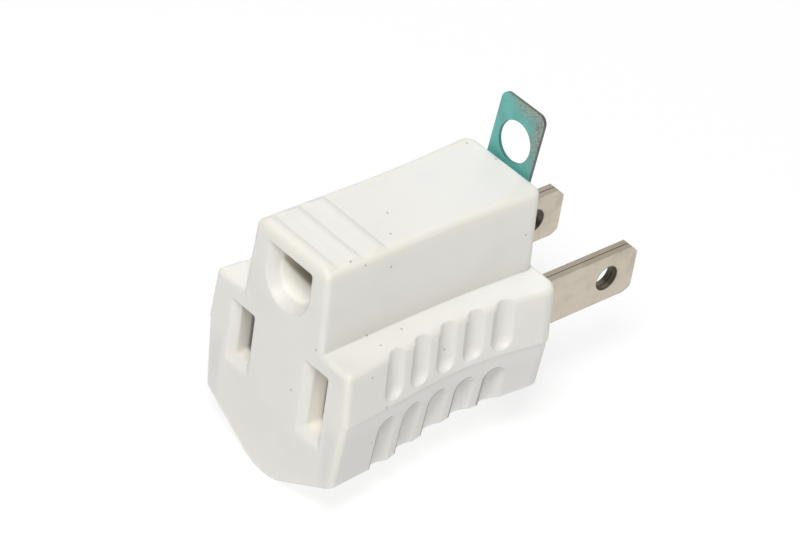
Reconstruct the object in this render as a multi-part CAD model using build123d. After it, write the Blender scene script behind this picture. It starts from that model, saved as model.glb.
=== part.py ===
"""Grounding plug adapter: a three-wire socket in front, two flat blades and a grounding tab behind.

A soft vinyl body is moulded round three stamped inserts: two pole strips, each folded double into a
blade behind and sprung open as a socket contact in front, and one ground strip, rolled into a pin
socket in front and bent up behind as the tab that goes under the cover plate's screw.

The origin is on the rear face, midway between the blades. X is the width, +Y points into the wall
outlet and +Z is the side with the ground socket. Sizes are in millimetres and angles in degrees.
"""
import os
from math import atan2, cos, hypot, radians, sin, sqrt, tan

from build123d import *

# Layout that the plug and the socket share
pole_pitch = 12.7
ground_rise = 11.8

# Side walls in plan: a straight lead behind the front face, an arc round the waist and a flared tail
body_depth = 31.2
lead_in = 12.5
lead_draw = 1.25
tail_out = 4.5
tail_flare = 10.5
tower_lead_draw = 0.25
tower_tail_flare = 3.5

# Levels and half widths of the body at its front face
parting_z = -0.6
parting_half = 12.05
parting_step = 0.12
shoulder_z = 6.45
upper_draft = 4.5
lower_draft = 5.0
tower_top_z = 16.6
tower_base_half = 6.8
tower_draft = 4.0
tower_setback = 0.15

# Underside: two flanks that meet in a rounded keel, level in front and raised behind the grip
keel_corner_z = -9.3
keel_slope = 30.0
keel_radius = 6.5
keel_level = 8.5
keel_ramp = 10.0
keel_rise = 2.2

# Edge rounds of the body
front_round = 0.65
rear_round = 1.9
tower_rear_round = 1.4
tower_round = 0.65
shoulder_round = 0.65

# Finger flutes in the side walls
flute_count = 5
flute_pitch = 4.0
flute_from_front = 15.65
upper_flute_radius = 1.5
upper_flute_depth = 0.95
upper_flute_lean = 1.2
upper_flute_foot_z = 0.0
lower_flute_radius = 1.55
lower_flute_depth = 0.9
lower_flute_lean = 5.0
lower_flute_head_z = -2.5

# Grip ribs across the tower
rib_count = 3
rib_pitch = 3.45
rib_from_front = 0.9
rib_width = 2.2
rib_height = 0.28
rib_inset = 0.5

# Pole slots: funnel mouth, throat and contact pocket
mouth_width = 4.1
mouth_depth = 0.9
throat_width = 2.3
throat_length = 2.2
throat_play = 0.3
neutral_extra = 1.45
mouth_margin = 0.85
mouth_corner = 0.4
pocket_width = 4.4
pocket_play = 0.35

# Pole strips
strip_thick = 0.7
fold_gap = 0.1
blade_width = 6.6
blade_length = 17.2
blade_hole_radius = 1.6
blade_hole_reach = 12.3
tip_chamfer = 1.5
tip_round = 2.0
leaf_pinch = 1.2
leaf_play = 0.2
leaf_inset = 0.5
leaf_lead = 2.2
leaf_run = 4.3
leaf_gather = 2.5
leaf_root = 0.9
leaf_bend = 0.9
rear_wall = 4.6

# Ground socket and ground strip
ground_mouth_half = 3.75
ground_mouth_top = 3.45
ground_mouth_depth = 1.6
ground_throat_half = 2.7
pin_socket_radius = 2.4
pin_socket_wall = 0.5
pin_socket_length = 9.0
pin_socket_slit = 60.0
pin_socket_inset = 0.2
ground_lip = 5.5
strap_lap = 2.0
ground_pocket_play = 0.35
neck_width = 3.2
tab_width = 7.0
tab_thick = 0.4
tab_rise = 9.6
tab_lean = 7.0
tab_bend = 0.55
tab_corner = 1.1
tab_hole_radius = 2.5
tab_hole_rise = 4.65

# Room between an insert and the vinyl moulded round it
insert_play = 0.03

front_y = -body_depth
blade_thick = 2 * strip_thick + fold_gap
hot_x = -pole_pitch / 2
neutral_x = pole_pitch / 2
throat_height = blade_width + throat_play
strap_z = ground_rise + pin_socket_radius + pin_socket_wall / 2


def wall_bend(draw, flare):
    """Slopes (radians) of a side wall's lead and tail, and the radius of the arc that joins them."""
    lead_slope = atan2(draw, lead_in)
    tail_slope = radians(flare)
    run = body_depth - lead_in - tail_out
    return lead_slope, tail_slope, run / (sin(lead_slope) + sin(tail_slope))


def wall_point(half, draw, flare, slope):
    """Point (x, y) of a side wall's arc where the wall has that slope, outwards to the rear."""
    lead_slope, _, radius = wall_bend(draw, flare)
    x = half - draw + radius * (cos(lead_slope) - cos(slope))
    y = front_y + lead_in + radius * (sin(lead_slope) + sin(slope))
    return x, y


def wall_line(half, draw, flare, spare):
    """Plan of the right side wall, run on past both ends by spare."""
    lead_slope, tail_slope, _ = wall_bend(draw, flare)
    lead = wall_point(half, draw, flare, -lead_slope)
    waist = wall_point(half, draw, flare, (tail_slope - lead_slope) / 2)
    tail = wall_point(half, draw, flare, tail_slope)
    front = (half + spare * tan(lead_slope), front_y - spare)
    rear = (tail[0] + (tail_out + spare) * tan(tail_slope), spare)
    return [Line(front, lead), ThreePointArc(lead, waist, tail), Line(tail, rear)]


def waisted_block(half, height, draft, draw, flare, back_round, rear_y=0.0):
    """Block on z = 0, drawn in at the waist and drafted upwards, with its upright edges rounded."""
    right = wall_line(half, draw, flare, height)
    left = [edge.mirror(Plane.YZ) for edge in right]
    back = Line(right[-1] @ 1, left[-1] @ 1)
    face = Line(left[0] @ 0, right[0] @ 0)
    block = extrude(make_face([*right, back, *left, face]), height, taper=draft)
    block &= Pos(0, (front_y + rear_y) / 2, height / 2) * Box(4 * half, rear_y - front_y, 2 * height)
    for y, radius in ((front_y, front_round), (rear_y, back_round)):
        upright = [e for e in block.edges() if e.bounding_box().size.Z > height / 2]
        block = fillet([e for e in upright if abs(e.center().Y - y) < radius / 10], radius)
    return block


def side_half(y, half):
    """Half width of the body at depth y, where it is half at the front."""
    lead_slope, tail_slope, radius = wall_bend(lead_draw, tail_flare)
    waist = wall_point(half, lead_draw, tail_flare, 0.0)
    tail = wall_point(half, lead_draw, tail_flare, tail_slope)
    if y < front_y + lead_in:
        return half - lead_draw * (y - front_y) / lead_in
    if y > tail[1]:
        return tail[0] + (y - tail[1]) * tan(tail_slope)
    return waist[0] + radius - sqrt(radius ** 2 - (y - waist[1]) ** 2)


def fluted(block, half, nose, lean, radius, depth):
    """Block on z = 0 with leaning flutes up both walls from round noses at nose, where it is half wide."""
    cutter = Sphere(radius) + Cylinder(
        radius, block.bounding_box().max.Z, align=(Align.CENTER, Align.CENTER, Align.MIN)
    )
    for i in range(flute_count):
        y = front_y + flute_from_front + flute_pitch * (i - (flute_count - 1) / 2)
        placed = Pos(side_half(y, half) + radius - depth, y, nose) * Rot(0, -lean, 0) * cutter
        block -= placed
        block -= mirror(placed, about=Plane.YZ)
    return block


def upper_block():
    """Shoulder half of the body, from the parting line up, with its flutes open at the shoulder."""
    height = shoulder_z - parting_z
    block = waisted_block(parting_half, height, upper_draft, lead_draw, tail_flare, rear_round)
    block = fillet(block.faces().sort_by(Axis.Z)[-1].edges(), shoulder_round)
    nose = upper_flute_foot_z + upper_flute_radius - parting_z
    nose_half = parting_half - nose * tan(radians(upper_draft))
    block = fluted(block, nose_half, nose, upper_flute_lean, upper_flute_radius, upper_flute_depth)
    return Pos(0, 0, parting_z) * block


def keel_form(deep):
    """Everything over the two flanks: a rounded V section run level, up a ramp and level again."""
    corner_half = parting_half - parting_step + (keel_corner_z - parting_z) * tan(radians(lower_draft))
    reach = parting_half + deep
    steep = tan(radians(keel_slope))
    keel_z = keel_corner_z - corner_half * steep
    edge_z = keel_z + reach * steep
    top_z = max(edge_z, parting_z) + deep
    right = [(reach, edge_z), (reach, top_z)]
    left = [(-reach, top_z), (-reach, edge_z)]
    section = make_face(Polyline(*left, (0, keel_z), *right, close=True))
    section = fillet(section.vertices().sort_by(Axis.Y)[0], keel_radius)
    ramp_y = front_y + keel_level
    tail_y = ramp_y + keel_ramp
    form = Part()
    for y, z, run, rise in (
        (front_y, 0, keel_level, 0),
        (ramp_y, 0, keel_ramp, keel_rise),
        (tail_y, keel_rise, -tail_y, 0),
    ):
        placed = Plane(origin=(0, y, z), x_dir=(1, 0, 0), z_dir=(0, -1, 0)) * section
        form += extrude(placed, amount=hypot(run, rise), dir=(0, run, rise))
    return form


def lower_block():
    """Keel half of the body, from the parting line down, with its flutes open at the flanks."""
    half = parting_half - parting_step
    height = parting_z - keel_corner_z + half * tan(radians(keel_slope))
    block = waisted_block(half, height, lower_draft, lead_draw, tail_flare, rear_round)
    nose = parting_z - lower_flute_head_z + lower_flute_radius
    nose_half = half - nose * tan(radians(lower_draft))
    block = fluted(block, nose_half, nose, lower_flute_lean, lower_flute_radius, lower_flute_depth)
    return (Pos(0, 0, parting_z) * mirror(block, about=Plane.XY)) & keel_form(height)


def tower_form(half, height):
    """Plain tower on z = 0 with its top edges rounded."""
    block = waisted_block(
        half, height, tower_draft, tower_lead_draw, tower_tail_flare, tower_rear_round, -tower_setback
    )
    return fillet(block.faces().sort_by(Axis.Z)[-1].edges(), tower_round)


def tower_block():
    """Raised rib of the body that holds the ground socket, with grip ribs across its front."""
    sunk = (shoulder_z - parting_z) / 2
    half = tower_base_half + sunk * tan(radians(tower_draft))
    height = tower_top_z - shoulder_z + sunk
    block = tower_form(half, height)
    envelope = tower_form(half - rib_inset, height + rib_height)
    bump = ((rib_width / 2) ** 2 + rib_height ** 2) / (2 * rib_height)
    for i in range(rib_count):
        y = front_y + rib_from_front + rib_pitch * i
        rib = Pos(0, y, height + rib_height - bump) * Rot(0, 90, 0) * Cylinder(bump, 2 * half)
        block += rib & envelope
    return Pos(0, 0, shoulder_z - sunk) * block


def framed(width, height, top_z, y):
    """Upright rectangle with rounded corners, hung from top_z on the plane at y and facing the front."""
    corner = min(mouth_corner, width / 4)
    return Plane(origin=(0, y, top_z - height / 2), x_dir=(1, 0, 0), z_dir=(0, -1, 0)) * RectangleRounded(
        width, height, corner
    )


def slot_cutter(x, extra):
    """Funnel, throat and contact pocket of one pole slot; extra lengthens it downwards."""
    top = throat_height / 2
    throat_y = front_y + mouth_depth
    pocket_y = throat_y + throat_length
    mouth = framed(mouth_width, throat_height + extra + 2 * mouth_margin, top + mouth_margin, front_y)
    throat = framed(throat_width, throat_height + extra, top, throat_y)
    funnel = loft([mouth, throat])
    channel = extrude(framed(throat_width, throat_height + extra, top, pocket_y), amount=throat_length)
    pocket = framed(pocket_width, throat_height + extra + 2 * pocket_play, top + pocket_play, -rear_wall)
    room = extrude(pocket, amount=-rear_wall - pocket_y)
    return Pos(x, 0, 0) * (funnel + channel + room)


def u_outline(half, top, y):
    """Pin opening on the plane at y: round below, straight sides, flat above."""
    face = make_face(
        [
            Line((-half, 0), (-half, top)),
            Line((-half, top), (half, top)),
            Line((half, top), (half, 0)),
            ThreePointArc((half, 0), (0, -half), (-half, 0)),
        ]
    )
    face = fillet(face.vertices().group_by(Axis.Y)[-1], mouth_corner)
    return Plane(origin=(0, y, ground_rise), x_dir=(1, 0, 0), z_dir=(0, -1, 0)) * face


def ground_cutter():
    """Funnel of the ground socket and the pocket for its pin contact."""
    throat_y = front_y + ground_mouth_depth
    pocket_r = pin_socket_radius + pin_socket_wall + ground_pocket_play
    mouth = u_outline(ground_mouth_half, ground_mouth_top, front_y)
    throat = u_outline(ground_throat_half, ground_throat_half, throat_y)
    funnel = loft([mouth, throat])
    lip_run = ground_lip + ground_pocket_play
    lip = extrude(u_outline(ground_throat_half, ground_throat_half, throat_y + lip_run), amount=lip_run)
    length = pin_socket_length + pin_socket_inset + ground_pocket_play
    room_y = throat_y + ground_lip + length / 2
    room = Pos(0, room_y, ground_rise) * Rot(90, 0, 0) * Cylinder(pocket_r, length)
    return funnel + lip + room


def pole_path():
    """Centre line of a pole strip in plan: contact leaf, blade, fold at the tip and back."""
    layer = (strip_thick + fold_gap) / 2
    wide = (pocket_width - strip_thick) / 2 - leaf_play
    pinch = (leaf_pinch + strip_thick) / 2
    mouth_y = front_y + mouth_depth + throat_length + leaf_inset
    pinch_y = mouth_y + leaf_lead
    root_y = -rear_wall - leaf_root
    fold_y = blade_length - layer - strip_thick / 2
    points = [
        (wide, mouth_y),
        (pinch, pinch_y),
        (wide, pinch_y + leaf_run),
        (wide, root_y - leaf_gather),
        (layer, root_y),
        (layer, fold_y),
    ]
    leaf = FilletPolyline(*points, radius=leaf_bend)
    tip = ThreePointArc((layer, fold_y), (0, fold_y + layer), (-layer, fold_y))
    return leaf, tip, leaf.mirror(Plane.YZ)


def tip_outline():
    """Side outline of a blade: chamfered above and rounded below at its tip."""
    half = blade_width / 2
    face = make_face(
        Polyline(
            (front_y, -half),
            (blade_length, -half),
            (blade_length, half - tip_chamfer),
            (blade_length - tip_chamfer, half),
            (front_y, half),
            close=True,
        )
    )
    low_tip = [v for v in face.vertices() if v.X > blade_length - 0.1 and v.Y < 0]
    face = fillet(low_tip, tip_round)
    placed = Plane(origin=(0, 0, 0), x_dir=(0, 1, 0), z_dir=(1, 0, 0)) * face
    return extrude(placed, amount=pocket_width, both=True)


def pole_strip(x):
    """One folded pole strip: sprung contact leaves in front, a double-layer blade behind."""
    leaf, tip, other = pole_path()
    path = Wire([*leaf.edges(), *tip.edges(), *other.edges()])
    start = Plane(origin=path @ 0, x_dir=(0, 0, 1), z_dir=path % 0)
    strip = sweep(start * Rectangle(blade_width, strip_thick), path=path)
    strip &= tip_outline()
    strip -= Pos(0, blade_hole_reach, 0) * Rot(0, 90, 0) * Cylinder(blade_hole_radius, 4 * blade_thick)
    return Pos(x, 0, 0) * strip


def tab_frame():
    """Plane of the tab: origin in the middle of its bend, normal towards the rear."""
    lean = radians(tab_lean)
    bend_y = -tower_setback + insert_play + tab_thick / 2
    return Plane(origin=(0, bend_y, strap_z), x_dir=(1, 0, 0), z_dir=(0, cos(lean), -sin(lean)))


def ground_strip():
    """Pin socket, neck and leaning tab, all one strip."""
    socket_y = front_y + ground_mouth_depth + ground_lip + pin_socket_inset
    outer = pin_socket_radius + pin_socket_wall
    ring = Circle(outer) - Circle(pin_socket_radius)
    reach = 2 * outer
    spread = reach * tan(radians(pin_socket_slit / 2))
    ring -= make_face(Polyline((0, 0), (-spread, -reach), (spread, -reach), close=True))
    section = Plane(origin=(0, socket_y, ground_rise), x_dir=(1, 0, 0), z_dir=(0, -1, 0)) * ring
    barrel = extrude(section, amount=-pin_socket_length)
    bend = tab_frame().origin
    lean = radians(tab_lean)
    end = (0, bend.Y + tab_rise * tan(lean), strap_z + tab_rise)
    lap = (0, socket_y + pin_socket_length - strap_lap, strap_z)
    path = FilletPolyline(lap, (0, bend.Y, strap_z), end, radius=tab_bend + tab_thick / 2)
    start = Plane(origin=path @ 0, x_dir=(1, 0, 0), z_dir=path % 0)
    strap = sweep(start * Rectangle(tab_width, tab_thick), path=path)
    trim = Box(tab_width, body_depth, 2 * tab_bend, align=(Align.MIN, Align.MAX, Align.CENTER))
    trim = Pos(neck_width / 2, -rear_wall, strap_z) * trim
    strap -= trim
    strap -= mirror(trim, about=Plane.YZ)
    corners = [e for e in strap.edges() if e.center().Z > end[2] - 1 and e.length < tab_thick * 1.1]
    strap = fillet(corners, tab_corner)
    strap -= tab_frame() * Pos(0, -tab_hole_rise / cos(lean), 0) * Cylinder(tab_hole_radius, 4 * tab_bend)
    return barrel + strap


def insert_slots():
    """Channels that the inserts fill in the rear wall."""
    blade = Box(blade_thick + 2 * insert_play, 2 * rear_wall + 1, blade_width + 2 * insert_play)
    strap = tab_thick + 2 * insert_play
    neck_run = body_depth - ground_mouth_depth - ground_lip - pin_socket_length + strap_lap
    tab = Pos(0, -rear_wall / 2, strap_z) * Box(tab_width + 2 * insert_play, rear_wall + 1, strap)
    neck = Pos(0, -neck_run / 2, strap_z) * Box(neck_width + 2 * insert_play, neck_run, strap)
    return [Pos(hot_x, 0, 0) * blade, Pos(neutral_x, 0, 0) * blade, tab, neck]


def lip_cutter():
    """Round-over of the vinyl above the strap, where the tab turns up."""
    over = strap_z + tab_thick / 2 + insert_play
    width = tab_width + 2 * insert_play
    edge = Pos(0, -tower_setback, over)
    corner = Pos(0, tab_bend / 2, 0) * Box(width, 3 * tab_bend, 2 * tab_bend)
    rounder = Pos(0, -tab_bend, tab_bend) * Rot(0, 90, 0) * Cylinder(tab_bend, width)
    return edge * (corner - rounder)


def moulded_body():
    """Vinyl body with its funnels, pockets and insert channels."""
    body = upper_block() + lower_block() + tower_block()
    for cutter in (slot_cutter(hot_x, 0), slot_cutter(neutral_x, neutral_extra), ground_cutter()):
        body -= cutter
    for slot in insert_slots():
        body -= slot
    return body - lip_cutter()


os.makedirs("parts", exist_ok=True)
export_step(moulded_body(), "parts/body.step")
export_step(pole_strip(hot_x), "parts/hot_pole.step")
export_step(pole_strip(neutral_x), "parts/neutral_pole.step")
export_step(ground_strip(), "parts/ground_strip.step")
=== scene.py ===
"""Grounding plug adapter: finishes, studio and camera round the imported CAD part.

The CAD nodes keep their shapes and are dressed here: the soft vinyl body, the two nickel plated poles and the
lacquered ground strip. Lengths are in metres in the frame of the part, whose origin lies on the rear face midway
between the blades, with +Y into the outlet and +Z on the ground side.
"""

import logging
import math
from dataclasses import dataclass, field
from enum import Enum
from typing import Optional, Union

import bpy
import numpy as np
from mathutils import Matrix, Vector


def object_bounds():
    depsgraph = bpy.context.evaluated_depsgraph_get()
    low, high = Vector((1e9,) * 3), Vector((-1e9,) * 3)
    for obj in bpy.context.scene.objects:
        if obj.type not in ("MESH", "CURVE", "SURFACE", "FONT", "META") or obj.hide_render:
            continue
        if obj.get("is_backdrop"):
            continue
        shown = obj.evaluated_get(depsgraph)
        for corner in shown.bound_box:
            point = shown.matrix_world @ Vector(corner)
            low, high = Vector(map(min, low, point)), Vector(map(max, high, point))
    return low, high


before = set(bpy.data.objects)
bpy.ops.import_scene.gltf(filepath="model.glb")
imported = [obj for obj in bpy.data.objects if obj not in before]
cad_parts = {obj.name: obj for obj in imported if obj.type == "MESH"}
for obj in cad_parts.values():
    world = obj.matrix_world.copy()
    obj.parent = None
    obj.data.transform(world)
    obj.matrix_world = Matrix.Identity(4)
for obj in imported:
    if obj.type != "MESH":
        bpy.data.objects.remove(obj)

LOG = logging.getLogger("plug_adapter")
MM = 0.001

Colour = tuple[float, float, float]
Number = Union[int, float]


def srgb(red: Number, green: Number, blue: Number) -> Colour:
    """Turn a display colour into the linear colour that a shader takes.

    Args:
        red: Red from 0 to 255.
        green: Green from 0 to 255.
        blue: Blue from 0 to 255.

    Returns:
        The linear colour, each channel from 0 to 1.
    """
    shares = np.array((red, green, blue), float) / 255
    linear = np.where(shares <= 0.04045, shares / 12.92, ((shares + 0.055) / 1.055) ** 2.4)
    return tuple(float(channel) for channel in linear)


class Operation(Enum):
    """Operations of the Math node that the finishes use."""

    ADD = "ADD"
    SUBTRACT = "SUBTRACT"
    MULTIPLY = "MULTIPLY"
    DIVIDE = "DIVIDE"
    POWER = "POWER"
    ABSOLUTE = "ABSOLUTE"
    GREATER_THAN = "GREATER_THAN"
    MAXIMUM = "MAXIMUM"
    WRAP = "WRAP"


class Value:
    """A shader socket that takes part in Python expressions."""

    def __init__(self, graph: "Graph", socket: bpy.types.NodeSocket) -> None:
        """Wrap a socket of a graph."""
        self.graph = graph
        self.socket = socket

    def _math(self, operation: Operation, *terms: "Term") -> "Value":
        """Add a Math node.

        Args:
            operation: What the node does.
            terms: Numbers or values, in the order of the node's sockets.

        Returns:
            The result.
        """
        settings = {"operation": operation.value}
        return self.graph.node("ShaderNodeMath", settings, dict(enumerate(terms))).value(0)

    def __add__(self, other: "Term") -> "Value":
        """Sum."""
        return self._math(Operation.ADD, self, other)

    def __radd__(self, other: "Term") -> "Value":
        """Sum, from the right."""
        return self._math(Operation.ADD, other, self)

    def __sub__(self, other: "Term") -> "Value":
        """Difference."""
        return self._math(Operation.SUBTRACT, self, other)

    def __rsub__(self, other: "Term") -> "Value":
        """Difference, from the right."""
        return self._math(Operation.SUBTRACT, other, self)

    def __mul__(self, other: "Term") -> "Value":
        """Product."""
        return self._math(Operation.MULTIPLY, self, other)

    def __rmul__(self, other: "Term") -> "Value":
        """Product, from the right."""
        return self._math(Operation.MULTIPLY, other, self)

    def __truediv__(self, other: "Term") -> "Value":
        """Quotient."""
        return self._math(Operation.DIVIDE, self, other)

    def __pow__(self, other: "Term") -> "Value":
        """Power."""
        return self._math(Operation.POWER, self, other)

    def __abs__(self) -> "Value":
        """Distance from zero."""
        return self._math(Operation.ABSOLUTE, self)

    def over(self, edge: "Term") -> "Value":
        """1 where the value is over the edge, else 0."""
        return self._math(Operation.GREATER_THAN, self, edge)

    def most(self, other: "Term") -> "Value":
        """The larger of two values."""
        return self._math(Operation.MAXIMUM, self, other)

    def wrap(self, low: Number, high: Number) -> "Value":
        """The value, repeated from low to high."""
        return self._math(Operation.WRAP, self, high, low)

    def ramp(self, low: Number, high: Number) -> "Value":
        """Fade smoothly from 0 at low to 1 at high.

        Args:
            low: Value at which the fade starts.
            high: Value at which it ends; it may be under low.

        Returns:
            The fade, from 0 to 1.
        """
        settings = {"interpolation_type": "SMOOTHSTEP", "clamp": True}
        ends = {"From Min": low, "From Max": high, "To Min": 0.0, "To Max": 1.0}
        if low > high:
            ends = {"From Min": high, "From Max": low, "To Min": 1.0, "To Max": 0.0}
        return self.graph.node("ShaderNodeMapRange", settings, {"Value": self, **ends}).value("Result")


Term = Union[Value, Number]
Paint = Union[Value, Colour]


@dataclass
class Node:
    """A node of a graph, whose outputs are asked for by name or place."""

    graph: "Graph"
    made: bpy.types.Node

    def value(self, output: Union[str, int]) -> Value:
        """One output as a value."""
        return Value(self.graph, self.made.outputs[output])


class Graph:
    """The node tree of one finish."""

    def __init__(self, name: str) -> None:
        """Start an empty material of that name."""
        self.material = bpy.data.materials.new(name)
        self.material.use_nodes = True
        self.tree = self.material.node_tree
        self.tree.nodes.clear()
        self.position = self.node("ShaderNodeTexCoord", {}, {}).value("Object")
        split = self.node("ShaderNodeSeparateXYZ", {}, {0: self.position})
        self.x, self.y, self.z = (split.value(axis) for axis in "XYZ")

    def node(self, kind: str, settings: dict, inputs: dict) -> Node:
        """Add a node.

        Args:
            kind: Blender's name of the node's type.
            settings: Properties of the node, set before its sockets.
            inputs: Value, colour, vector or number for each socket, by its name or place.

        Returns:
            The node.
        """
        made = self.tree.nodes.new(kind)
        for name, setting in settings.items():
            setattr(made, name, setting)
        for name, given in inputs.items():
            socket = made.inputs[name]
            if isinstance(given, Value):
                self.tree.links.new(given.socket, socket)
            elif socket.type == "RGBA":
                socket.default_value = (*given, 1.0)
            else:
                socket.default_value = given
        return Node(self, made)

    def noise(self, size: float, detail: float = 3.0, stretch: Colour = (1, 1, 1), seed: float = 0.0) -> Value:
        """Cloudy noise.

        Args:
            size: Breadth of a cloud, in metres.
            detail: Octaves of finer noise in it.
            stretch: How much finer the clouds are along each axis.
            seed: Place in the fourth dimension, which tells one noise from another.

        Returns:
            The noise, about 0.5 on average.
        """
        place = self.node("ShaderNodeMapping", {}, {"Vector": self.position, "Scale": stretch}).value(0)
        inputs = {"Vector": place, "W": seed, "Scale": 1 / size, "Detail": detail}
        return self.node("ShaderNodeTexNoise", {"noise_dimensions": "4D"}, inputs).value(0)

    def specks(self, spacing: float, radius: float, share: float) -> Value:
        """Scattered round specks, at one point in some cells of a grid.

        Args:
            spacing: Breadth of a cell, in metres.
            radius: Radius of the largest speck, in metres.
            share: Share of the cells that have a speck.

        Returns:
            1 inside a speck and 0 elsewhere, with a soft edge.
        """
        cells = self.node("ShaderNodeTexVoronoi", {}, {"Vector": self.position, "Scale": 1 / spacing})
        chance = self.node("ShaderNodeSeparateColor", {}, {0: cells.value("Color")})
        size = chance.value(1) * 0.6 + 0.4
        reach = cells.value("Distance") * spacing / (size * radius)
        return reach.ramp(1.0, 0.6) * (share - chance.value(0)).over(0.0)

    def spot(self, centre: Colour, radius: float) -> Value:
        """One soft round spot.

        Args:
            centre: Middle of the spot, in metres.
            radius: Radius at which it has faded out, in metres.

        Returns:
            1 in the middle and 0 outside.
        """
        settings = {"operation": "DISTANCE"}
        away = self.node("ShaderNodeVectorMath", settings, {0: self.position, 1: centre}).value("Value")
        return away.ramp(radius, radius / 2)

    def softened(self, radius: float) -> Value:
        """Normal of the surface with its edges rounded by the radius, in metres."""
        return self.node("ShaderNodeBevel", {"samples": 8}, {"Radius": radius}).value(0)

    def edges(self, radius: float) -> Value:
        """Mask of the edges, where the surface turns within the radius.

        Args:
            radius: How far from an edge the mask reaches, in metres.

        Returns:
            0 on flat stretches, rising to about 0.3 on a right-angled edge.
        """
        true = self.node("ShaderNodeNewGeometry", {}, {}).value("True Normal")
        turned = {0: self.softened(radius), 1: true}
        return 1 - self.node("ShaderNodeVectorMath", {"operation": "DOT_PRODUCT"}, turned).value("Value")

    def across(self, facing: Colour) -> Value:
        """Mask of the faces that stand across a direction.

        Args:
            facing: Unit vector of the direction.

        Returns:
            0 where the surface faces along the direction, on either side, and 1 where it stands across it.
        """
        true = self.node("ShaderNodeNewGeometry", {}, {}).value("True Normal")
        along = self.node("ShaderNodeVectorMath", {"operation": "DOT_PRODUCT"}, {0: true, 1: facing}).value("Value")
        return 1 - abs(along)

    def mix(self, share: Term, first: Paint, second: Paint) -> Value:
        """Lay one colour over another.

        Args:
            share: How much of the second colour shows.
            first: Colour below.
            second: Colour above.

        Returns:
            The mixed colour.
        """
        settings = {"data_type": "RGBA", "clamp_factor": True}
        return self.node("ShaderNodeMix", settings, {0: share, 6: first, 7: second}).value(2)

    def layers(self, base: Paint, tints: list[tuple[Value, float, Paint]]) -> Paint:
        """Lay tints over a colour, one after another.

        Args:
            base: Colour at the bottom.
            tints: Mask, share and colour of each tint, from the bottom up.

        Returns:
            The colour with all the tints on it.
        """
        for mask, share, tint in tints:
            base = self.mix(mask * share, base, tint)
        return base

    def bump(self, height: Value, depth: float, below: Optional[Value] = None) -> Value:
        """Relief of a height field.

        Args:
            height: Height, from 0 to 1.
            depth: Depth in metres that a height of 1 stands for.
            below: Normal of a coarser relief under this one.

        Returns:
            The normal.
        """
        inputs = {"Strength": 1.0, "Distance": depth, "Height": height}
        if below is not None:
            inputs["Normal"] = below
        return self.node("ShaderNodeBump", {}, inputs).value(0)

    def surface(self, **sockets) -> bpy.types.Material:
        """Close the graph with a Principled shader.

        Args:
            sockets: Value or number for each of the shader's sockets, its name's spaces written as underscores.

        Returns:
            The finished material.
        """
        inputs = {name.replace("_", " "): given for name, given in sockets.items()}
        shader = self.node("ShaderNodeBsdfPrincipled", {}, inputs).value("BSDF")
        self.node("ShaderNodeOutputMaterial", {}, {"Surface": shader})
        return self.material


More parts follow.
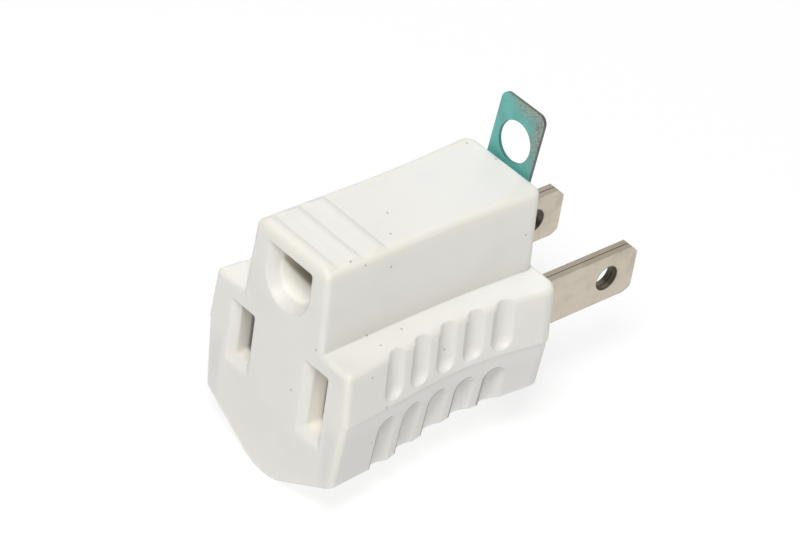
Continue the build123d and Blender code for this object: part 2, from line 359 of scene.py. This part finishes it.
@dataclass(frozen=True)
class VinylFinish:
    """Soft white vinyl with a satin moulded skin, creamy yellowed rims and a few dark specks, dressed with painted
    light and shade: a painted highlight on the rims, painted light on the rear tops, painted shade on the lower side
    walls and in the slots, painted shadow along the flutes' lips, in the left slot's throat and in the ground
    socket, and painted light shining from inside slots and socket.

    Places and lengths of its masks are in mm. Depths are counted back from the front face.
    """

    white: Colour = srgb(237, 235, 229)
    cool: Colour = srgb(231, 229, 223)
    # painted shade: darker colour for the lower side walls
    shade: Colour = srgb(224, 222, 219)
    # painted light: lighter colour for the level tops towards the rear
    painted_light: Colour = srgb(243, 244, 240)
    # creamy yellowing of the rims, lightened as a painted highlight
    cream_and_highlight: Colour = srgb(242, 238, 226)
    # painted shade for the walls inside the slots
    slot_shade: Colour = srgb(228, 221, 204)
    # painted shadow for the end of the left slot's throat
    dark: Colour = srgb(76, 80, 92)
    # painted shadow for the upper side of the ground socket
    socket_shadow_tint: Colour = srgb(178, 164, 138)
    # painted shadow along the front lips of the flutes
    lip_shadow: Colour = srgb(150, 145, 138)
    soot: Colour = srgb(112, 106, 98)
    black: Colour = (0.0, 0.0, 0.0)
    # painted light: colour of the emission inside slots and socket
    painted_glow_colour: Colour = (0.27, 0.261, 0.23)
    up: Colour = (0.0, 0.0, 1.0)
    front: float = -31.2
    pocket_end: float = 26.2
    side_x: float = 8.8
    flute_first: float = 7.65
    flute_pitch: float = 4.0
    flute_count: int = 5
    lip_radius: float = 1.45
    lower_nose: float = -4.05
    upper_nose: float = 1.5
    slot_x: float = 6.35
    slot_half_width: float = 2.4
    slot_deep: float = 2.2
    slot_top: float = 5.5
    slot_foot: float = -6.6
    ground_z: float = 11.8
    ground_radius: float = 2.8
    shadow_slope: float = 1.3
    shadow_from: float = 2.4
    shadow_to: float = 3.5
    speck_radius: float = 0.19
    specks: tuple[Colour, ...] = (
        (-5.07, -1.71, 16.6),
        (-1.05, -0.89, 16.6),
        (0.49, -18.19, 16.6),
        (3.6, -20.39, 16.6),
        (5.31, -27.48, 16.72),
        (6.02, -25.87, 16.02),
        (6.06, -22.01, 14.36),
        (6.63, -2.22, 11.46),
        (2.89, -31.2, -1.04),
        (6.67, -24.72, 6.49),
        (8.78, -24.48, 6.45),
        (9.55, -20.03, 5.29),
        (9.43, -15.18, 2.51),
        (11.24, -27.48, 4.88),
        (7.78, -20.64, 6.45),
        (11.38, -24.72, -0.33),
        (5.84, -31.2, 6.57),
    )

    def build(self) -> bpy.types.Material:
        """Make the vinyl.

        Returns:
            The material of the body.
        """
        graph = Graph("satin_vinyl")
        cloud = graph.noise(7 * MM, 3.0, seed=1.0)
        grain = graph.noise(0.35 * MM, 2.0, seed=2.0)
        # painted shadow that the socket's rim casts into the bore
        socket_shadow = self._bore(graph) * self._shadow(graph).ramp(self.shadow_from, self.shadow_to)
        colour = graph.layers(
            self.white,
            [
                (cloud.ramp(0.45, 0.75), 0.6, self.cool),
                # painted shade on the lower side walls
                (self._low_side_shade(graph), 0.6, self.shade),
                # painted light on the rear tops
                (self._lit_rear_tops(graph), 0.5, self.painted_light),
                # creamy yellowing and painted highlight on the rims
                (self._rim_tint_and_highlight(graph) * cloud.ramp(0.25, 0.6), 0.65, self.cream_and_highlight),
                # painted shade inside the slots, growing with depth
                (self._slots(graph), 0.35, self.slot_shade),
                # painted shadow in the left slot's throat
                (self._throat_shadow(graph), 0.8, self.dark),
                # painted shadow in the ground socket
                (socket_shadow, 0.58, self.socket_shadow_tint),
                # painted shadow along the flutes' lips
                (self._lip_shadows(graph), 0.8, self.lip_shadow),
                (self._dust(graph), 0.5, self.soot),
            ],
        )
        ripple = graph.bump(graph.noise(4.5 * MM, 1.0, seed=3.0), 0.08 * MM, graph.softened(0.35 * MM))
        return graph.surface(
            Base_Color=colour,
            Roughness=0.40 + 0.10 * cloud,
            Normal=graph.bump(grain, 0.012 * MM, ripple),
            IOR=1.48,
            Subsurface_Weight=0.4,
            Subsurface_Radius=(1.0, 0.95, 0.85),
            Subsurface_Scale=1.4 * MM,
            # painted light: emission inside the slots and the ground socket
            Emission_Color=graph.mix(self._painted_glow(graph), self.black, self.painted_glow_colour),
            Emission_Strength=1.0,
        )

    def _depth(self, graph: Graph) -> Value:
        """How far behind the front face, in mm."""
        return graph.y / MM - self.front

    def _rim_tint_and_highlight(self, graph: Graph) -> Value:
        """Mask of the rounded rims of tower, shoulders and front, which take a creamy yellowing together with a
        painted highlight.
        """
        x, depth, z = abs(graph.x) / MM, self._depth(graph), graph.z / MM
        tower = z.ramp(14.8, 16.3) * x.ramp(4.3, 5.6).most(depth.ramp(1.6, 0.2))
        slant = graph.across(self.up)
        shoulder = z.ramp(4.2, 5.6) * z.ramp(8.0, 7.0) * x.over(8.0) * slant.ramp(0.0, 0.2) * slant.ramp(1.0, 0.7)
        upright = depth.ramp(1.2, 0.1) * x.ramp(10.0, 11.6) * z.ramp(7.0, 6.5)
        return tower.most(shoulder).most(upright)

    def _lit_rear_tops(self, graph: Graph) -> Value:
        """Mask of painted light on the level tops of tower and shoulders, fading in towards the rear."""
        level = graph.across(self.up).ramp(0.12, 0.02)
        return level * (graph.z / MM).over(5.0) * self._depth(graph).ramp(10.0, 26.0)

    def _low_side_shade(self, graph: Graph) -> Value:
        """Mask of painted shade on the side walls under the parting line, fading in downwards."""
        return (graph.z / MM).ramp(0.0, -4.0) * (abs(graph.x) / MM).ramp(8.6, 9.6)

    def _lip_shadows(self, graph: Graph) -> Value:
        """Mask of the painted shadow along the front lips of the finger flutes, fainter on the upper row."""
        x, behind, z = abs(graph.x) / MM, self._depth(graph) - self.flute_first, graph.z / MM
        half = self.flute_pitch / 2
        along = behind.wrap(-half, half)
        row = (behind + half).over(0.0) * (half + self.flute_pitch * (self.flute_count - 1) - behind).over(0.0)
        lower = self._lip(along, (z - self.lower_nose).most(0.0))
        upper = self._lip(along, (self.upper_nose - z).most(0.0)) * z.ramp(0.6, 2.0) * z.ramp(6.4, 5.2) * 0.4
        return x.over(self.side_x) * row * lower.most(upper)

    def _lip(self, along: Value, past: Value) -> Value:
        """Line along the front half of a flute's lip.

        Args:
            along: How far behind the flute's axis, in mm.
            past: How far past the middle of the flute's nose, in mm, or 0 on its straight stretch.

        Returns:
            1 on the line and 0 off it, with soft edges.
        """
        away = (along * along + past * past) ** 0.5 - self.lip_radius
        return away.ramp(-0.3, -0.1) * away.ramp(0.22, 0.1) * along.ramp(0.9, 0.2)

    def _pockets(self, graph: Graph) -> Value:
        """Mask that ends before the rear wall, so that nothing in a pocket shows on the rear face."""
        return self._depth(graph).ramp(self.pocket_end + 1.0, self.pocket_end)

    def _slots(self, graph: Graph) -> Value:
        """Mask of the walls inside the pole slots, deepening to the rear; it carries the painted shade in the slots
        and bounds the painted throat shadow and the emission there.
        """
        near = abs(abs(graph.x) / MM - self.slot_x).ramp(self.slot_half_width, self.slot_half_width * 0.8)
        z = graph.z / MM
        level = z.ramp(self.slot_top, self.slot_top - 0.5) * z.ramp(self.slot_foot, self.slot_foot + 0.5)
        return near * self._depth(graph).ramp(0.3, self.slot_deep) * level * self._pockets(graph)

    def _throat_shadow(self, graph: Graph) -> Value:
        """Mask of the painted shadow at the dark end of the left slot's throat."""
        return (-1 * graph.x).over(0.0) * self._depth(graph).ramp(2.3, 2.8) * self._slots(graph)

    def _bore(self, graph: Graph) -> Value:
        """Mask of the walls of the ground socket behind its funnel, which carry its painted shadow and painted
        light.
        """
        x, rise = graph.x / MM, graph.z / MM - self.ground_z
        near = ((x * x + rise * rise) ** 0.5).ramp(self.ground_radius + 0.4, self.ground_radius)
        return near * self._depth(graph).ramp(1.0, 2.0) * self._pockets(graph)

    def _shadow(self, graph: Graph) -> Value:
        """How far a point of the ground socket lies up and back, in mm; the rim's shadow falls from about 3 on."""
        return graph.z / MM - self.ground_z + self.shadow_slope * self._depth(graph)

    def _painted_glow(self, graph: Graph) -> Value:
        """Mask of the walls of slots and ground socket that shine with painted light, an emission that stands in for
        the light let through the translucent vinyl.
        """
        depth, right = self._depth(graph), graph.x.over(0.0)
        bore = self._bore(graph) * depth.ramp(6.0, 4.2) * self._shadow(graph).ramp(self.shadow_to, self.shadow_from)
        reach = (depth - right).ramp(3.4, 2.6) * depth.ramp(0.6, 1.2)
        slot = self._slots(graph) * (graph.z / MM).ramp(4.5, 0.5) * reach * (right * 0.28 + 0.28)
        return bore.most(slot)

    def _dust(self, graph: Graph) -> Value:
        """Mask of the dark specks: fine ones scattered all over and larger ones at their places."""
        dust = graph.specks(3.6 * MM, 0.16 * MM, 0.28)
        for place in self.specks:
            dust = dust.most(graph.spot(tuple(axis * MM for axis in place), self.speck_radius * MM))
        return dust


@dataclass(frozen=True)
class NickelFinish:
    """Nickel plate over drawn brass, mottled, with fine streaks along the blade and painted shade along its edges,
    its narrow faces and round its hole.
    """

    plate: Colour = srgb(207, 197, 182)
    streak: Colour = srgb(200, 190, 174)
    stain: Colour = srgb(168, 158, 140)
    # painted shade for the blade's edges and narrow faces
    edge_shade: Colour = srgb(142, 134, 119)
    # painted shade round the blade's hole
    hole_shade: Colour = srgb(78, 70, 58)
    across: Colour = (1.0, 0.0, 0.0)
    hole_reach: float = 12.3
    hole_radius: float = 1.6

    def build(self) -> bpy.types.Material:
        """Make the plating.

        Returns:
            The material of the poles.
        """
        graph = Graph("nickel_plate")
        drawn = graph.noise(0.45 * MM, 3.0, (1, 0.2, 1), seed=4.0)
        cloud = graph.noise(2.4 * MM, 4.0, seed=5.0)
        # edge and narrow-face masks of the painted shade
        rim = graph.edges(0.35 * MM).ramp(0.02, 0.2)
        flank = graph.across(self.across).ramp(0.35, 0.65)
        along, rise = graph.y / MM - self.hole_reach, graph.z / MM
        # mask of the painted shade round the hole
        bored = ((along * along + rise * rise) ** 0.5).ramp(self.hole_radius + 0.14, self.hole_radius)
        colour = graph.layers(
            self.plate,
            [
                (drawn.ramp(0.35, 0.7), 0.5, self.streak),
                (cloud.ramp(0.45, 0.75), 0.4, self.stain),
                # painted shade on the edges and narrow faces
                ((rim * 0.45).most(flank * 0.65), 1.0, self.edge_shade),
                # painted shade round the hole
                (bored, 0.75, self.hole_shade),
            ],
        )
        return graph.surface(
            Base_Color=colour,
            Metallic=0.92,
            Roughness=0.38 + 0.12 * cloud,
            Normal=graph.bump(drawn, 0.006 * MM),
        )


@dataclass(frozen=True)
class LacquerFinish:
    """Green lacquer on the ground strip, worn to speckled grey along two edges of the tab, with painted shade on its
    edges, its narrow faces and its foot by the body.
    """

    green: Colour = srgb(107, 193, 186)
    # darker green: random mottling of the lacquer, and painted shade at the tab's foot
    mottle_and_foot_shade: Colour = srgb(62, 142, 132)
    metal: Colour = srgb(176, 172, 162)
    worn: Colour = srgb(152, 162, 155)
    soot: Colour = srgb(92, 100, 94)
    # painted shade for the strip's narrow faces
    edge_shade: Colour = srgb(92, 92, 84)
    # green of the lacquer on the wall of the tab's hole, darkened as painted shade
    bored: Colour = srgb(58, 116, 108)
    facing: Colour = (0.0, 0.9925, -0.1219)
    half_width: float = 3.5
    foot: float = 15.0
    head: float = 24.2
    reach: float = 2.6
    hole_z: float = 19.1
    hole_radius: float = 2.5

    def build(self) -> bpy.types.Material:
        """Make the lacquer.

        Returns:
            The material of the ground strip.
        """
        graph = Graph("worn_green_lacquer")
        x, z = graph.x / MM, graph.z / MM
        cloud = graph.noise(2.2 * MM, 4.0, seed=6.0)
        chip = graph.noise(0.26 * MM, 2.0, seed=7.0)
        side = x.ramp(self.half_width - self.reach, self.half_width) * z.ramp(self.foot, self.head - self.reach)
        wear = side.most(z.ramp(self.head - self.reach, self.head) * x.ramp(-self.half_width, 1.0))
        bare = (chip + wear * 0.32 - 0.14).ramp(0.45, 0.72)
        # painted shade at the foot of the tab, where it meets the body
        low = z.ramp(self.foot + 2.5, self.foot)
        film = cloud.ramp(0.5, 0.35) * 0.25
        # edge mask that carries painted shade along the edges
        rim = graph.edges(0.3 * MM).ramp(0.02, 0.2)
        rise = z - self.hole_z
        hole = ((x * x + rise * rise) ** 0.5).ramp(self.hole_radius + 0.3, self.hole_radius + 0.1)
        colour = graph.layers(
            self.green,
            [
                # random mottling, and painted shade at the tab's foot
                (cloud.ramp(0.4, 0.7) * 0.35 + low * 0.4, 1.0, self.mottle_and_foot_shade),
                (wear, 0.65, self.worn),
                # wear chips and random film are the lacquer's own soiling; the edge share is painted shade
                (wear * chip.ramp(0.6, 0.4) * 0.5 + rim * 0.3 + film, 1.0, self.soot),
                (bare, 0.5, self.metal),
                # painted shade on the narrow faces, in dark green on the hole's wall
                (graph.across(self.facing).ramp(0.35, 0.65), 0.85, graph.mix(hole, self.edge_shade, self.bored)),
            ],
        )
        return graph.surface(
            Base_Color=colour,
            Metallic=bare * 0.3,
            Roughness=0.44 + 0.1 * cloud,
            Normal=graph.bump(chip, 0.008 * MM),
        )


@dataclass(frozen=True)
class FloorFinish:
    """Plain pale studio floor."""

    pale: Colour = (0.25, 0.25, 0.25)

    def build(self) -> bpy.types.Material:
        """Make the floor's material."""
        graph = Graph("pale_floor")
        return graph.surface(Base_Color=self.pale, Roughness=0.9, Emission_Color=(1, 1, 1), Emission_Strength=0.75)


@dataclass
class Dressed:
    """CAD nodes that share one finish and one slot of the record."""

    nodes: tuple[str, ...]
    slot: str
    material: bpy.types.Material

    def dress(self) -> None:
        """Give each node the finish as its only material."""
        for name in self.nodes:
            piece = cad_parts[name]
            piece.data.materials.clear()
            piece.data.materials.append(self.material)
            LOG.info("%s wears %s", name, self.material.name)


@dataclass
class Lamp:
    """A soft rectangular lamp that points at the part."""

    name: str
    place: Colour
    breadth: float
    power: float

    def build(self, target: Vector) -> bpy.types.Object:
        """Hang the lamp and turn it to the target.

        Args:
            target: Point that it looks at.

        Returns:
            The lamp.
        """
        light = bpy.data.lights.new(self.name, "AREA")
        light.size = self.breadth
        light.energy = self.power
        lamp = bpy.data.objects.new(self.name, light)
        lamp.location = self.place
        lamp.rotation_euler = (target - Vector(self.place)).to_track_quat("-Z", "Y").to_euler()
        bpy.context.scene.collection.objects.link(lamp)
        return lamp


@dataclass
class Studio:
    """Pale floor, soft sky and lamps."""

    floor_half: float = 3.0
    sky: Colour = (1.0, 1.0, 1.0)
    sky_strength: float = 0.02
    lamps: list[Lamp] = field(
        default_factory=lambda: [
            Lamp("key_lamp", (0.26, -0.39, 0.78), 0.3, 5.1),
            Lamp("face_lamp", (0.45, -0.51, 0.6), 0.3, 1.0),
            Lamp("top_lamp", (0.0, -0.05, 0.9), 0.5, 1.2),
            Lamp("left_lamp", (-0.52, -0.02, 0.74), 0.4, 0.6),
            Lamp("back_lamp", (-0.5, 0.5, 0.54), 0.7, 2.0),
            Lamp("right_lamp", (0.37, 0.62, 0.52), 0.5, 0.6),
        ]
    )

    def build(self, low: Vector, high: Vector) -> None:
        """Set up the studio.

        Args:
            low: Lowest corner of the part.
            high: Highest corner of the part.
        """
        self._floor(low.z)
        world = bpy.data.worlds.new("soft_sky")
        world.use_nodes = True
        background = world.node_tree.nodes["Background"]
        background.inputs["Color"].default_value = (*self.sky, 1.0)
        background.inputs["Strength"].default_value = self.sky_strength
        bpy.context.scene.world = world
        for lamp in self.lamps:
            lamp.build((low + high) / 2)
        LOG.info("studio has %d lamps", len(self.lamps))

    def _floor(self, level: float) -> None:
        """Lay the floor at that level."""
        half = self.floor_half
        corners = [(-half, -half, level), (half, -half, level), (half, half, level), (-half, half, level)]
        mesh = bpy.data.meshes.new("floor")
        mesh.from_pydata(corners, [], [(0, 1, 2, 3)])
        mesh.materials.append(FloorFinish().build())
        floor = bpy.data.objects.new("floor", mesh)
        bpy.context.scene.collection.objects.link(floor)
        floor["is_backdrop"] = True


@dataclass
class PhotoCamera:
    """Camera at the photograph's place, turned a little about its own line of sight."""

    azimuth: float = 44.08
    elevation: float = 36.64
    roll: float = 9.17
    distance: float = 393.74 * MM
    right: float = 13.62 * MM
    up: float = 9.66 * MM
    front_y: float = -31.2 * MM
    lens: float = 162.0
    sensor: float = 36.0

    def build(self) -> bpy.types.Object:
        """Place the camera.

        The line of sight runs back from the middle of the front face by azimuth and elevation. The frame's right and
        up axes are turned about it by the roll, and the camera is moved along them.

        Returns:
            The camera.
        """
        azimuth, elevation, roll = (math.radians(angle) for angle in (self.azimuth, self.elevation, self.roll))
        back = Vector(
            (
                math.sin(azimuth) * math.cos(elevation),
                -math.cos(azimuth) * math.cos(elevation),
                math.sin(elevation),
            )
        )
        level = Vector((math.cos(azimuth), math.sin(azimuth), 0.0))
        upright = back.cross(level)
        right = math.cos(roll) * level + math.sin(roll) * upright
        up = math.cos(roll) * upright - math.sin(roll) * level
        eye = Vector((0.0, self.front_y, 0.0)) + self.right * right + self.up * up + self.distance * back
        data = bpy.data.cameras.new("photo_camera")
        data.lens = self.lens
        data.sensor_width = self.sensor
        data.clip_start = 0.01
        data.clip_end = 20.0
        camera = bpy.data.objects.new("photo_camera", data)
        camera.matrix_world = Matrix.Translation(eye) @ Matrix((right, up, back)).transposed().to_4x4()
        bpy.context.scene.collection.objects.link(camera)
        bpy.context.scene.camera = camera
        return camera


def main() -> None:
    """Dress the part, then set up its studio and camera."""
    logging.basicConfig(level=logging.INFO, format="%(message)s")
    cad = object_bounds()
    Dressed(("body",), "body", VinylFinish().build()).dress()
    Dressed(("hot_pole", "neutral_pole"), "poles", NickelFinish().build()).dress()
    Dressed(("ground_strip",), "ground_strip", LacquerFinish().build()).dress()
    Studio().build(*cad)
    PhotoCamera().build()
    bpy.context.scene.view_settings.view_transform = "Standard"


if __name__ == "__main__":
    main()
